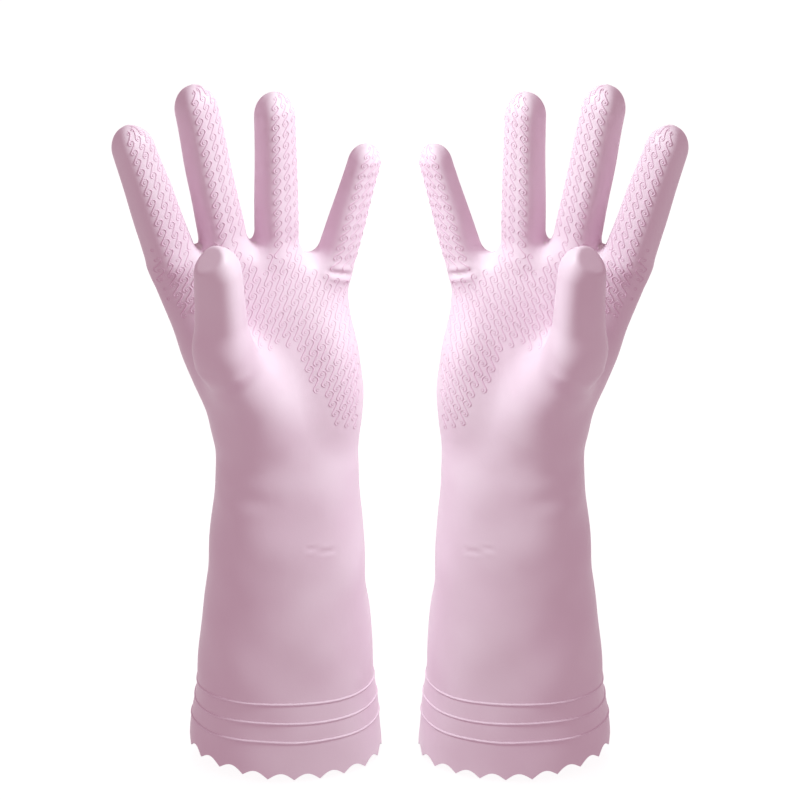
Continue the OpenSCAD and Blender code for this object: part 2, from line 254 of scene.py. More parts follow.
# Soft hollows of the palm and of the webs between the fingers: depth, centre and sizes
PALM_HOLLOWS = [
    (1.6, (-6, -14, 212), (15, 12, 20)), (2.2, (32, -3, 229), (8, 16, 12)),
    (1.3, (37, -3, 203), (10, 16, 18)),
]
WEB_HOLLOWS = [(2.0, (11, -9, 247), (8, 5, 6)), (1.3, (-15.5, -9, 251), (5, 5, 5))]
# Heights between which the mound and hollows count, and from which the thumb and fingers do
PALM_LOW, PALM_HIGH, THUMB_LOW, FINGERS_LOW = 120, 250, 185, 215


def mound_field(p):
    along = MOUND_TO - MOUND_FROM
    h = np.clip((p - MOUND_FROM) @ along / (along @ along), 0, 1)
    centre = MOUND_FROM + h[:, None] * along
    return np.linalg.norm(p - centre, axis=1) - (MOUND_R[0] + (MOUND_R[1] - MOUND_R[0]) * h)


def ellipsoid(p, centre, sizes):
    q = (p - centre) / sizes
    g = np.maximum(np.linalg.norm(q, axis=1), 0.2)
    return (g - 1) * g / np.maximum(np.linalg.norm(q / sizes, axis=1), 1e-3)


def soft_spot(p, centre, sizes):
    return np.exp(-(((p - centre) / sizes) ** 2).sum(1))


def field(p):
    """Signed distance, roughly, from the glove's outer surface: negative inside."""
    f = body_field(p)
    low, high = p[:, 2].min(), p[:, 2].max()
    if high > PALM_LOW and low < PALM_HIGH:
        f = union(f, mound_field(p), MOUND_MELT)
        f = union(f, ellipsoid(p, *HEEL), HEEL_MELT)
        for depth, centre, sizes in PALM_HOLLOWS:
            f = f + depth * soft_spot(p, centre, sizes)
    if high > THUMB_LOW:
        facet = (p - THUMB_FACET_AT) @ THUMB_FACET
        f = union(f, -union(-THUMB.field(p), -facet, FACET_MELT), LIMB_MELT)
    if high > FINGERS_LOW:
        fingers = None
        for limb in LIMBS.values():
            one = limb.field(p)
            fingers = one if fingers is None else union(fingers, one, FINGERS_MELT)
        f = union(f, fingers, LIMB_MELT)
        for depth, centre, sizes in WEB_HOLLOWS:
            f = f + depth * soft_spot(p, centre, sizes)
    return f


# Folds on the front: from s and z, to s and z, depth and half width
FOLDS = [
    (-40.3, 134.5, -15.5, 133.0, 0.28, 3.4), (-24.0, 143.0, 4.0, 147.0, 0.18, 4.5),
    (0.0, 110.5, 15.0, 107.2, 0.22, 1.1), (18.0, 233.6, 32.0, 229.6, 0.75, 1.3),
    (-18.0, 118.0, 10.0, 124.0, 0.16, 6.0), (-10.0, 96.0, 18.0, 90.0, 0.18, 7.0),
    (-30.0, 160.0, -8.0, 149.0, 0.20, 5.0), (-36.0, 84.0, -12.0, 80.0, 0.14, 6.0),
]
# Soft waves of the thin rubber: wavelengths in mm along s, y and z, phase and height. They are
# weaker on the fingers.
WAVES = [
    (61, 83, -47, 0.4, 0.30), (-43, 57, 71, 2.1, 0.24), (88, -39, 35, 4.0, 0.18),
    (37, 49, 97, 1.1, 0.16), (-29, 64, 26, 5.2, 0.10),
]


def relief(p):
    """How far the surface stands out from the plain shape at each point."""
    s, y, z = p.T
    out = np.zeros(len(p))
    front = ease(-y / 8)
    for s0, z0, s1, z1, depth, half in FOLDS:
        run = np.array([s1 - s0, z1 - z0])
        h = np.clip(((s - s0) * run[0] + (z - z0) * run[1]) / (run @ run), 0, 1)
        d = np.hypot(s - s0 - h * run[0], z - z0 - h * run[1])
        fade = 1 - (2 * h - 1) ** 4 * 0.7
        banks = 0.5 * np.exp(-((d - 2 * half) / half) ** 2)
        out += depth * front * fade * (banks - np.exp(-(d / half) ** 2))
    soft = 1 - 0.75 * ease((z - 190) / 50)
    for ws, wy, wz, phase, height in WAVES:
        out += height * soft * np.sin(2 * np.pi * (s / ws + y / wy + z / wz) + phase)
    return out


def skin_field(p):
    return field(p) - relief(p)


def gradient(f, p, step=0.02):
    g = np.empty_like(p)
    for axis in range(3):
        d = np.zeros(3)
        d[axis] = step
        g[:, axis] = (f(p + d) - f(p - d)) / (2 * step)
    return g


def settle(f, p, flat, rounds=2):
    """Moves points onto the surface; points marked flat keep their height."""
    for _ in range(rounds):
        g = gradient(f, p)
        g[flat, 2] = 0
        p = p - g * np.clip(f(p) / np.maximum((g ** 2).sum(1), 0.05), -1.5, 1.5)[:, None]
    return p


# ---- Meshing ----

# The field is worked out this many layers of the grid at a time
LAYERS = 12
SHIFTS = [np.array(c) for c in np.ndindex(2, 2, 2)]


def surface_net(f, axes):
    """Vertices and quads of the surface f = 0 on a grid, open where it leaves the grid."""
    shape = [len(a) for a in axes]
    values = np.empty(shape)
    for k in range(0, shape[2], LAYERS):
        grid = np.stack(np.meshgrid(*axes[:2], axes[2][k:k + LAYERS], indexing="ij"), -1)
        values[:, :, k:k + LAYERS] = f(grid.reshape(-1, 3)).reshape(grid.shape[:3])
    inside = values < 0
    count = sum(
        inside[tuple(slice(o, n - 1 + o) for o, n in zip(shift, shape))].astype(np.int8)
        for shift in SHIFTS
    )
    active = (count > 0) & (count < 8)
    cells = np.argwhere(active)
    number = np.full(active.shape, -1)
    number[active] = np.arange(len(cells))
    total, hits = np.zeros((len(cells), 3)), np.zeros(len(cells))
    for first in SHIFTS:
        for axis in range(3):
            if first[axis]:
                continue
            a = cells + first
            b = a.copy()
            b[:, axis] += 1
            va, vb = values[tuple(a.T)], values[tuple(b.T)]
            cut = (va < 0) != (vb < 0)
            t = (va / np.where(cut, va - vb, 1))[:, None]
            pa = np.stack([axes[i][a[:, i]] for i in range(3)], 1)
            pb = np.stack([axes[i][b[:, i]] for i in range(3)], 1)
            total[cut] += (pa + t * (pb - pa))[cut]
            hits[cut] += 1
    quads = []
    for axis in range(3):
        one, two = (axis + 1) % 3, (axis + 2) % 3
        low = [slice(1, n - 1) for n in shape]
        low[axis] = slice(0, shape[axis] - 1)
        high = list(low)
        high[axis] = slice(1, shape[axis])
        edge = inside[tuple(low)] != inside[tuple(high)]
        at = np.argwhere(edge) + [0 if i == axis else 1 for i in range(3)]
        ring = []
        for d_one, d_two in ((-1, -1), (0, -1), (0, 0), (-1, 0)):
            cell = at.copy()
            cell[:, one] += d_one
            cell[:, two] += d_two
            ring.append(number[tuple(cell.T)])
        ring = np.stack(ring, 1)
        outward = inside[tuple(at.T)]
        quads.append(np.where(outward[:, None], ring, ring[:, ::-1]))
    return total / hits[:, None], np.concatenate(quads)


def open_edges(quads):
    """The directed edges that only one face uses."""
    a = quads.ravel()
    b = np.roll(quads, -1, axis=1).ravel()
    big = int(quads.max()) + 1
    alone = ~np.isin(a * big + b, b * big + a)
    return a[alone], b[alone]


def relaxed(f, verts, quads, flat, rounds):
    """Evens out the mesh while it stays on the surface; points marked flat don't move."""
    a, b = quads.ravel(), np.roll(quads, -1, axis=1).ravel()
    count = np.bincount(a, minlength=len(verts)) + np.bincount(b, minlength=len(verts))
    for _ in range(rounds):
        total = np.stack([
            np.bincount(a, verts[b, i], len(verts)) + np.bincount(b, verts[a, i], len(verts))
            for i in range(3)
        ], 1)
        mean = total / count[:, None]
        moved = verts + 0.5 * (mean - verts)
        moved[flat] = verts[flat]
        verts = settle(f, moved, flat, 1)
    return verts


# The implicit skin starts at the top bead, which hides its seam with the cuff's lower part
SEAM_Z = BEADS_Z[2]
GRID_S, GRID_Y = (-84.0, 52.0), (-58.0, 42.0)
HAND_TOP_Z, HAND_Z = 325.0, 126.0


def skin_mesh(step, tall):
    """The glove above the seam: vertices, normals and quads. The cuff's cells are tall mm high."""
    low = SEAM_Z - tall / 2 + np.arange(0, HAND_Z - SEAM_Z, tall)
    axes = (
        np.arange(*GRID_S, step), np.arange(*GRID_Y, step),
        np.concatenate([low, np.arange(low[-1] + step, HAND_TOP_Z, step)]),
    )
    verts, quads = surface_net(field, axes)
    flat = np.zeros(len(verts), bool)
    flat[open_edges(quads)[0]] = True
    verts[flat, 2] = SEAM_Z
    verts = relaxed(skin_field, verts, quads, flat, 3)
    verts = settle(skin_field, verts, flat)
    normals = gradient(skin_field, verts)
    return verts, normals / np.linalg.norm(normals, axis=1)[:, None], quads


# ---- Where the skin is divided ----

# Where a finger's middle and end joints are, as shares of its length, and the half length of
# the zones in which they bend the skin
MIDDLE_SHARE, END_SHARE = 0.36, 0.68
MIDDLE_ZONE, END_ZONE = 8.0, 7.6
# Where the zone of the finger's root starts, along the finger
KNUCKLE_FROM = 2.5
# The skin bends at the thumb's root along this direction, which is between the thumb's own
# and the palm's, from and to these heights along it
THUMB_UP = THUMB.axes[2] * 0.86 + np.array([0, -1, 0]) * 0.5
THUMB_UP /= np.linalg.norm(THUMB_UP)
THUMB_ZONE = (-0.2, 9.8)
# Along the thumb: the seam below its end joint, the joint, and half the length that bends
THUMB_SEAM, THUMB_JOINT, THUMB_END_ZONE = 17.5, 26.5, 8.0
# The fingers lie behind this depth, and the thumb, where it passes them, in front of it
THUMB_BEFORE_Y = -32
# The thumb's faces are found by spreading from this much of its end. A face of the skin or of
# the pattern is on the thumb if it is this near to the thumb's own surface.
THUMB_TIP, SKIN_NEAR, PATTERN_NEAR = 8, 1.0, 1.2
# Heights where the wrist bends, and where the palm starts above it
WRIST_ZONE = (128.0, 172.0)
PALM_Z = 173.0


def joint_places(limb):
    return MIDDLE_SHARE * limb.length, END_SHARE * limb.length


def limb_seams(limb):
    first, second = joint_places(limb)
    return KNUCKLE_FROM - 0.2, first - MIDDLE_ZONE - 0.1, second - END_ZONE - 0.1


def thumb_height(p):
    return (p - THUMB.origin) @ THUMB_UP


def spread_from(start, allowed, quads):
    """The faces of the allowed set that are joined to the start faces through shared corners."""
    chosen = start & allowed
    while True:
        corners = np.zeros(quads.max() + 1, bool)
        corners[quads[chosen].ravel()] = True
        grown = allowed & corners[quads].any(1)
        if grown.sum() == chosen.sum():
            return chosen
        chosen = grown


def divide(verts, quads):
    """The name of the part that each face belongs to."""
    centres = verts[quads].mean(1)
    names = np.full(len(quads), "palm", dtype="<U16")
    names[centres[:, 2] < PALM_Z] = "wrist"
    names[centres[:, 2] < HAND_Z] = "cuff"
    heights = {name: limb.local(centres)[:, 2] for name, limb in LIMBS.items()}
    depths = {name: np.abs(limb.field(centres)) for name, limb in LIMBS.items()}
    nearest = np.min(list(depths.values()), axis=0)
    for name, limb in LIMBS.items():
        mine = (depths[name] <= nearest) & (centres[:, 1] > THUMB_BEFORE_Y)
        for part, seam in zip(("base", "middle", "tip"), limb_seams(limb)):
            names[mine & (heights[name] > seam)] = f"{name}_{part}"
    above = thumb_height(centres) > THUMB_ZONE[0] - 0.2
    tip = THUMB.local(centres)[:, 2] > THUMB.length - THUMB_TIP
    on_thumb = np.abs(THUMB.field(centres)) < SKIN_NEAR
    thumb = spread_from(tip & on_thumb, above, quads)
    names[thumb] = "thumb_base"
    names[thumb & (THUMB.local(centres)[:, 2] > THUMB_SEAM)] = "thumb_tip"
    return names


def pattern_divide(verts, quads):
    """The part that each face of the pattern belongs to; the thumb's own scrolls go with it."""
    names = divide(verts, quads)
    names[names == "cuff"] = "palm"
    centres = verts[quads].mean(1)
    t = THUMB.local(centres)[:, 2]
    near = (np.abs(THUMB.field(centres)) < PATTERN_NEAR) & (t > 4)
    names[near] = np.where(t[near] > THUMB_SEAM, "thumb_tip", "thumb_base")
    return names


def zone_of(part):
    """The two bodies that a part bends between, and the start and end of its zone."""
    if part == "wrist":
        return "cuff", "palm", (0, 0, WRIST_ZONE[0]), (0, 0, WRIST_ZONE[1])
    if part == "thumb_base":
        a, b = (THUMB.origin + THUMB_UP * t for t in THUMB_ZONE)
        return "palm", "thumb_base", a, b
    if part == "thumb_tip":
        a, b = (THUMB.at(0, 0, THUMB_JOINT + d) for d in (-THUMB_END_ZONE, THUMB_END_ZONE))
        return "thumb_base", "thumb_tip", a, b
    if "_" not in part:
        return None
    name, segment = part.split("_")
    limb = LIMBS[name]
    first, second = joint_places(limb)
    low, high, bodies = {
        "base": (KNUCKLE_FROM, first - MIDDLE_ZONE - 0.3, ("palm", f"{name}_finger_base")),
        "middle": (first - MIDDLE_ZONE, first + MIDDLE_ZONE,
                   (f"{name}_finger_base", f"{name}_finger_middle")),
        "tip": (second - END_ZONE, second + END_ZONE,
                (f"{name}_finger_middle", f"{name}_finger_tip")),
    }[segment]
    return *bodies, limb.at(0, 0, low), limb.at(0, 0, high)


def node_of(part):
    """The CAD node that a part of the skin stands for."""
    if "_" not in part:
        return "palm" if part == "wrist" else part
    return part if part.startswith("thumb") else part.replace("_", "_finger_")


# ---- The raised grip pattern ----

# Half sizes of a scroll's hooks, radius of the ring in each eye, and that ring's thickness
EYE_H, RING_R, RING_WIDTH = 1.4, 0.58, 0.6
EYE_W = {"palm": 1.85, "limb": 1.65}
# The steps from eye to eye: down a limb, and on the palm across and down
CHAIN_STEP = 4.8
ROW = np.array([5.2, -2.3])
CHAIN = np.array([1.4, -4.6])
# Places of the columns round a limb, each of which starts this much higher than the last
FINGER_COLUMNS, LITTLE_COLUMNS = (-5.2, 0.0, 5.2), (-4.5, 0.2, 4.8)
THUMB_COLUMNS = (-4.6, 0.0, 4.6)
COLUMN_RISE = 1.1
# An eye this near to one of another group is left out, and so is a line with a longer gap
EYE_GAP, LONGEST_GAP = 4.0, 2.2
# The most that the pattern leans over a limb's round end, in radians
TIP_WRAP = 1.45
# The depth where rays to the palm start, the rays' lengths, and the step along them
PALM_RAYS_Y, PALM_RAY, LIMB_RAY, RAY_STEP = -3.0, 40.0, 18.0, 0.8
# Section of a rib and its normals, across and out
RIDGE = np.array([(-0.36, -0.16), (-0.16, 0.27), (0.16, 0.27), (0.36, -0.16)])
RIDGE_NORMALS = np.array([(-0.9, 0.4), (-0.45, 0.9), (0.45, 0.9), (0.9, 0.4)])


def arc(centre, wide, high, start, end, count):
    t = np.radians(np.linspace(start, end, count))
    return np.stack([centre[0] + wide * np.cos(t), centre[1] + high * np.sin(t)], 1)


def motif(step, wide):
    """One scroll of the pattern, from one eye to the next one a step away, and the eye's ring."""
    head, tail = arc((0, 0), wide, EYE_H, 85, -25, 7), arc(step, wide, EYE_H, 160, 262, 6)
    middle = head[-1] + (tail[0] - head[-1]) * np.array([[0.33], [0.67]])
    scroll = np.concatenate([head, middle, tail])
    return scroll, arc((0, 0), RING_R, RING_R, 25, 335, 9)


def march(start, direction, far):
    """Where each ray from inside the glove first leaves it, and whether it does."""
    found = np.zeros(len(start), bool)
    low, high = np.zeros(len(start)), np.full(len(start), far)
    valid = skin_field(start) < 0
    for t in np.arange(0.0, far, RAY_STEP)[1:]:
        hit = ~found & valid & (skin_field(start + direction * t) >= 0)
        low[hit], high[hit] = t - RAY_STEP, t
        found |= hit
    for _ in range(10):
        middle = (low + high) / 2
        out = skin_field(start + direction * middle[:, None]) >= 0
        high, low = np.where(out, middle, high), np.where(out, low, middle)
    return start + direction * ((low + high) / 2)[:, None], found


def on_palm(flat):
    """Pattern points given as s and z, put onto the front of the palm."""
    start = np.stack([flat[:, 0], np.full(len(flat), PALM_RAYS_Y), flat[:, 1]], 1)
    return march(start, np.broadcast_to([0.0, -1.0, 0.0], start.shape), PALM_RAY)


def on_limb(limb):
    """A function that wraps pattern points, across and along, round a finger or the thumb."""
    radius = (limb.root + limb.tip) / 4

    def wrap(flat):
        angle, t = flat[:, 0] / radius, flat[:, 1]
        knee = limb.length - limb.round
        rise = np.clip((t - knee) / limb.round, 0, TIP_WRAP)
        side = np.stack([np.sin(angle), -np.cos(angle)], 1) * np.cos(rise)[:, None]
        direction = np.concatenate([side, np.sin(rise)[:, None]], 1) @ limb.axes
        start = limb.at(0.0, 0.0, np.minimum(t, knee))
        return march(start, direction, LIMB_RAY)

    return wrap


def inside_polygon(points, corners):
    result = np.zeros(len(points), bool)
    x, y = points.T
    for (x0, y0), (x1, y1) in zip(corners, np.roll(corners, -1, axis=0)):
        at = (x1 - x0) * (y - y0) / (y1 - y0 + 1e-12) + x0
        result ^= ((y0 > y) != (y1 > y)) & (x < at)
    return result


# The part of the palm that has the pattern, in s and z
PALM_REGION = np.array([
    (-62, 256), (-61, 236), (-48.5, 217), (-27, 226), (-17, 205), (0.5, 201), (13.5, 170),
    (22, 162), (29.5, 161), (32, 193), (31, 221), (30, 226), (20, 230), (15, 235),
    (7, 235), (4, 246), (-9, 247), (-12, 240), (-17, 240), (-23, 251), (-34, 251), (-38, 243),
    (-43, 243), (-47, 252),
])


def limb_eyes(columns, top, bottom):
    """The eyes of the scrolls on a limb, from its top down, as places across and along it."""
    return np.array([
        (u, t + COLUMN_RISE * k)
        for k, u in enumerate(columns) for t in np.arange(top, bottom, -CHAIN_STEP)
    ])


def pattern_eyes():
    """Groups of scrolls: how they wrap onto the glove, their eyes, and the step between eyes."""
    down = np.array([0.0, -CHAIN_STEP])
    groups = []
    for name, limb in LIMBS.items():
        columns = LITTLE_COLUMNS if name == "little" else FINGER_COLUMNS
        groups.append((on_limb(limb), limb_eyes(columns, limb.length + 1.0, 1.0), down))
    groups.append((on_limb(THUMB), limb_eyes(THUMB_COLUMNS, THUMB.length - 1.0, 20.0), down))
    first = np.array([FINGERS["index"][0], 250.0])
    eyes = np.array([first + i * ROW + j * CHAIN for i in range(-12, 24) for j in range(-14, 30)])
    groups.append((on_palm, eyes[inside_polygon(eyes, PALM_REGION)], CHAIN))
    return groups


def ridge(points, normals, width):
    """A low rounded rib along a line on the skin: vertices, normals and quads."""
    run = np.gradient(points, axis=0)
    run /= np.linalg.norm(run, axis=1)[:, None] + 1e-9
    across = np.cross(normals, run)
    across /= np.linalg.norm(across, axis=1)[:, None] + 1e-9
    size = width * (0.35 + 0.8 * np.sin(np.linspace(0, math.pi, len(points))))
    verts = (
        points[:, None] + across[:, None] * (RIDGE[:, 0] * size[:, None])[..., None]
        + normals[:, None] * (RIDGE[:, 1] * size[:, None])[..., None]
    )
    shade = across[:, None] * RIDGE_NORMALS[:, :1] + normals[:, None] * RIDGE_NORMALS[:, 1:]
    n, m = len(points), len(RIDGE)
    i, k = np.meshgrid(np.arange(n - 1), np.arange(m), indexing="ij")
    j = (k + 1) % m
    quads = np.stack([i * m + k, (i + 1) * m + k, (i + 1) * m + j, i * m + j], -1).reshape(-1, 4)
    last = (n - 1) * m
    ends = np.array([[0, 1, 2, 3], [last + 3, last + 2, last + 1, last]])
    return verts.reshape(-1, 3), shade.reshape(-1, 3), np.concatenate([quads, ends])


def pattern_mesh():
    """Every rib and ring of one glove's pattern: vertices, normals and quads."""
    parts, taken = [], np.empty((0, 3))
    for wrap, eyes, step in pattern_eyes():
        scroll, ring = motif(step, EYE_W["palm" if wrap is on_palm else "limb"])
        centre, ok = wrap(eyes)
        if len(taken):
            near = np.linalg.norm(centre[:, None] - taken[None], axis=2).min(1)
            ok &= near > EYE_GAP
        eyes, centre = eyes[ok], centre[ok]
        taken = np.concatenate([taken, centre])
        lines = np.concatenate([
            (eyes[:, None] + scroll).reshape(-1, 2), (eyes[:, None] + ring).reshape(-1, 2)
        ])
        points, hit = wrap(lines)
        normals = gradient(skin_field, points)
        normals /= np.linalg.norm(normals, axis=1)[:, None]
        start = 0
        goes_on = np.ones(len(eyes), bool)
        if wrap is on_palm:
            goes_on = inside_polygon(eyes + step, PALM_REGION)
        always = np.ones(len(eyes), bool)
        for line, wanted, width in ((scroll, goes_on, 1.0), (ring, always, RING_WIDTH)):
            for whole in wanted:
                rows = slice(start, start + len(line))
                start += len(line)
                gaps = np.linalg.norm(np.diff(points[rows], axis=0), axis=1)
                if whole and hit[rows].all() and gaps.max() < LONGEST_GAP:
                    parts.append(ridge(points[rows], normals[rows], width))
    return joined(parts)


def joined(parts):
    """Several meshes as one, with normals of length one."""
    base = np.cumsum([0] + [len(part[0]) for part in parts])
    verts, normals = (np.concatenate([part[k] for part in parts]) for k in (0, 1))
    quads = np.concatenate([part[2] + start for part, start in zip(parts, base)])
    return verts, normals / np.linalg.norm(normals, axis=1)[:, None], quads


# ---- Pieces ----

def solid_sheet(verts, normals, quads, outer, inner):
    """A closed shell between two depths below an open sheet."""
    used, quads = np.unique(quads, return_inverse=True)
    quads = quads.reshape(-1, 4)
    verts, normals = verts[used], normals[used]
    n = len(verts)
    a, b = open_edges(quads)
    rim = np.stack([b, a, a + n, b + n], 1)
    return (
        np.concatenate([verts - normals * outer, verts - normals * inner]),
        np.concatenate([normals, -normals]),
        np.concatenate([quads, quads[:, ::-1] + n, rim]),
    )


def part_of(verts, normals, quads, chosen):
    """The chosen faces of a mesh, with their own vertices."""
    used, quads = np.unique(quads[chosen], return_inverse=True)
    return verts[used], normals[used], quads.reshape(-1, 4)


def make(name, parts, materials):
    """A mesh object from meshes in metres, with one material for each or the same for all."""
    verts, normals, quads = joined(parts)
    which = np.concatenate([np.full(len(p[2]), k % len(materials)) for k, p in enumerate(parts)])
    mesh = bpy.data.meshes.new(name)
    mesh.vertices.add(len(verts))
    mesh.vertices.foreach_set("co", verts.astype(np.float32).ravel())
    mesh.loops.add(quads.size)
    mesh.loops.foreach_set("vertex_index", quads.astype(np.int32).ravel())
    mesh.polygons.add(len(quads))
    mesh.polygons.foreach_set("loop_start", np.arange(len(quads), dtype=np.int32) * 4)
    mesh.polygons.foreach_set("use_smooth", np.ones(len(quads), bool))
    mesh.polygons.foreach_set("material_index", which.astype(np.int32))
    mesh.update(calc_edges=True)
    mesh.validate()
    mesh.normals_split_custom_set_from_vertices(normals)
    piece = bpy.data.objects.new(name, mesh)
    bpy.context.scene.collection.objects.link(piece)
    for material in materials:
        mesh.materials.append(material)
    return piece


def sided(side, parts):
    """The parts in metres in the frame, mirrored for the right glove."""
    placed = []
    for verts, normals, quads in parts:
        v, n = to_world(verts), normals @ HAND.T
        if side == "right":
            v, n, quads = v * [-1, 1, 1], n * [-1, 1, 1], quads[:, ::-1]
        placed.append((v, n, quads))
    return placed


def world_point(side, p):
    x, y, z = to_world(p)
    return (-x if side == "right" else x, y, z)


def attach(piece, side, part):
    """Makes a piece ride on its body; a piece of a bending zone is left in place, on no body."""
    zone = zone_of(part)
    if zone is None:
        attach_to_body(piece, f"{side}_{part}")
        return
    a, b, start, end = zone
    start, end = world_point(side, start), world_point(side, end)
    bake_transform(piece)


# ---- The lower cuff ----

PER_TOOTH = 16
COLUMNS = TEETH * PER_TOOTH
# The rim isn't quite level: its outer side stands this much higher, eased out below the beads
RIM_LIFT, RIM_EASE = 6.0, 16.0
# Heights of the lower cuff's rows, close together where the teeth ease out, and its lining's
EASED_ROWS = [0.08, 0.8, 1.8, 3.0, 4.4, 6.0, 8.0, 10.0, 12.0, 14.0, 16.0]
ROWS = EASED_ROWS + list(np.linspace(17.5, SEAM_Z, 14))
LINING_ROWS = list(np.linspace(RIM_EASE, SEAM_Z, 8))
# The points round the rim are spaced evenly at this height, measured in this many steps
SPACING_Z, SPACING_STEPS = 12.0, 7200


def cuff_ring(height, angle):
    """Points round the cuff, in hand coordinates, for heights and angles of the same length."""
    centre, back, a, b, turn = section_at(height)
    c, q = np.cos(angle), np.sin(angle)
    x = a * np.sign(c) * np.abs(c) ** (2 / SQUARENESS)
    y = b * np.sign(q) * np.abs(q) ** (2 / SQUARENESS)
    return np.stack([
        centre + x * np.cos(turn) - y * np.sin(turn),
        back + x * np.sin(turn) + y * np.cos(turn),
        height,
    ], 1)


def even_angles(count):
    """Angles that space points evenly round the rim, starting at its right side."""
    fine = np.arange(SPACING_STEPS) * 2 * math.pi / SPACING_STEPS
    ring = cuff_ring(np.full(SPACING_STEPS, SPACING_Z), fine)
    step = np.linalg.norm(np.diff(np.vstack([ring, ring[:1]]), axis=0), axis=1)
    length = np.concatenate([[0], np.cumsum(step)])
    return np.interp(np.arange(count) / count * length[-1], length, np.append(fine, 2 * math.pi))


def ring_normals(points):
    g = gradient(skin_field, points)
    return g / np.linalg.norm(g, axis=1)[:, None]


def cuff_sheet(rows):
    """An open sheet round the cuff from rows of heights, standing on the pinked rim."""
    angle = even_angles(COLUMNS)
    tooth = TOOTH_H * np.abs(np.sin(np.arange(COLUMNS) * math.pi / PER_TOOTH)) ** 1.05
    lift = RIM_LIFT * np.clip((0.3 - np.cos(angle)) / 1.3, 0, 1) ** 1.5
    rings = []
    for height in rows:
        z = height + (tooth + lift) * (1 - ease(height / RIM_EASE))
        ring = cuff_ring(z + np.zeros(COLUMNS), angle)
        rings.append(settle(skin_field, ring, np.ones(COLUMNS, bool)))
    verts = np.concatenate(rings)
    i, k = np.meshgrid(np.arange(len(rows) - 1), np.arange(COLUMNS), indexing="ij")
    j = (k + 1) % COLUMNS
    n = COLUMNS
    quads = np.stack([i * n + k, i * n + j, (i + 1) * n + j, (i + 1) * n + k], -1).reshape(-1, 4)
    return verts, ring_normals(verts), quads


# Section of a bead and its normals, out and up, and the points round it
BEAD_SECTION = np.array([
    (-0.3, -0.85), (0.1, -0.62), (0.34, -0.36), (0.42, 0), (0.34, 0.36), (0.1, 0.62), (-0.3, 0.85),
])
BEAD_NORMALS = np.array([
    (0.1, -1), (0.45, -0.9), (0.75, -0.65), (1, 0), (0.75, 0.65), (0.45, 0.9), (0.1, 1),
])
BEAD_POINTS = 180


def bead(height):
    """A thin raised ring round the cuff."""
    count, m = BEAD_POINTS, len(BEAD_SECTION)
    flat = np.ones(count, bool)
    ring = settle(skin_field, cuff_ring(np.full(count, height), even_angles(count)), flat)
    out = ring_normals(ring)
    up = np.array([0, 0, 1.0])
    verts = ring[:, None] + out[:, None] * BEAD_SECTION[:, :1] + up * BEAD_SECTION[:, 1:]
    shade = out[:, None] * BEAD_NORMALS[:, :1] + up * BEAD_NORMALS[:, 1:]
    i, k = np.meshgrid(np.arange(count), np.arange(m), indexing="ij")
    i2, k2 = (i + 1) % count, (k + 1) % m
    quads = np.stack([i * m + k, i2 * m + k, i2 * m + k2, i * m + k2], -1).reshape(-1, 4)
    return verts.reshape(-1, 3), shade.reshape(-1, 3), quads


# ---- Materials ----

def mixed(nodes, links, low, high, factor):
    """A mix of two colours."""
    mix = nodes.new("ShaderNodeMix")
    mix.data_type = "RGBA"
    mix.inputs[6].default_value = (*low, 1)
    mix.inputs[7].default_value = (*high, 1)
    links.new(factor, mix.inputs[0])
    return mix.outputs[2]


def noise(nodes, links, where, scale, detail):
    n = nodes.new("ShaderNodeTexNoise")
    n.inputs["Scale"].default_value = scale
    n.inputs["Detail"].default_value = detail
    links.new(where, n.inputs["Vector"])
    return n.outputs["Fac"]


def spread(nodes, links, value, low, high, to_low=0.0, to_high=1.0):
    """A value's range from low to high, moved to another range."""
    r = nodes.new("ShaderNodeMapRange")
    for k, v in zip(("From Min", "From Max", "To Min", "To Max"), (low, high, to_low, to_high)):
        r.inputs[k].default_value = v
    links.new(value, r.inputs["Value"])
    return r.outputs["Result"]


# Noise scales of the colour's clouds and of the surface's two grains, per metre
CLOUDS, GRAIN, FINE_GRAIN = 26, 420, 1300


def rubber_material(name, pale, deep, rough, bump_height):
    """A soft matt finish, clouded from pale to deep, with a fine grain bump_height metres high."""
    material = bpy.data.materials.new(name)
    material.use_nodes = True
    nodes, links = material.node_tree.nodes, material.node_tree.links
    shader = nodes["Principled BSDF"]
    where = nodes.new("ShaderNodeTexCoord").outputs["Object"]
    cloud = spread(nodes, links, noise(nodes, links, where, CLOUDS, 3.0), 0.35, 0.68)
    links.new(mixed(nodes, links, pale, deep, cloud), shader.inputs["Base Color"])
    grain = noise(nodes, links, where, GRAIN, 4.0)
    roughness = spread(nodes, links, grain, 0.3, 0.7, rough - 0.04, rough + 0.05)
    links.new(roughness, shader.inputs["Roughness"])
    fine = noise(nodes, links, where, FINE_GRAIN, 2.0)
    total = nodes.new("ShaderNodeMath")
    total.operation = "ADD"
    links.new(grain, total.inputs[0])
    links.new(fine, total.inputs[1])
    b = nodes.new("ShaderNodeBump")
    b.inputs["Strength"].default_value = 0.35
    b.inputs["Distance"].default_value = bump_height
    links.new(total.outputs[0], b.inputs["Height"])
    links.new(b.outputs["Normal"], shader.inputs["Normal"])
    shader.inputs["IOR"].default_value = 1.5
    shader.inputs["Specular IOR Level"].default_value = 0.2
    return material


RUBBER = rubber_material(
    "pink_rubber", pale=(0.85, 0.66, 0.785), deep=(0.82, 0.61, 0.745), rough=0.42,
    bump_height=0.00006,
)
# The ribs are the same rubber as the skin; their deeper pink is painted shade, standing in for the
# shade along the raised ribs
RIDGES_PAINTED_SHADE = rubber_material(
    "pink_rubber_ridges_painted_shade", pale=(0.81, 0.56, 0.71), deep=(0.78, 0.52, 0.68), rough=0.38,
    bump_height=0.00004,
)
FLOCKED = rubber_material(
    "cotton_flock", pale=(0.86, 0.74, 0.78), deep=(0.80, 0.66, 0.72), rough=0.9, bump_height=0.0003
)
FLOCKED.node_tree.nodes["Principled BSDF"].inputs["Sheen Weight"].default_value = 0.4


# ---- Build ----

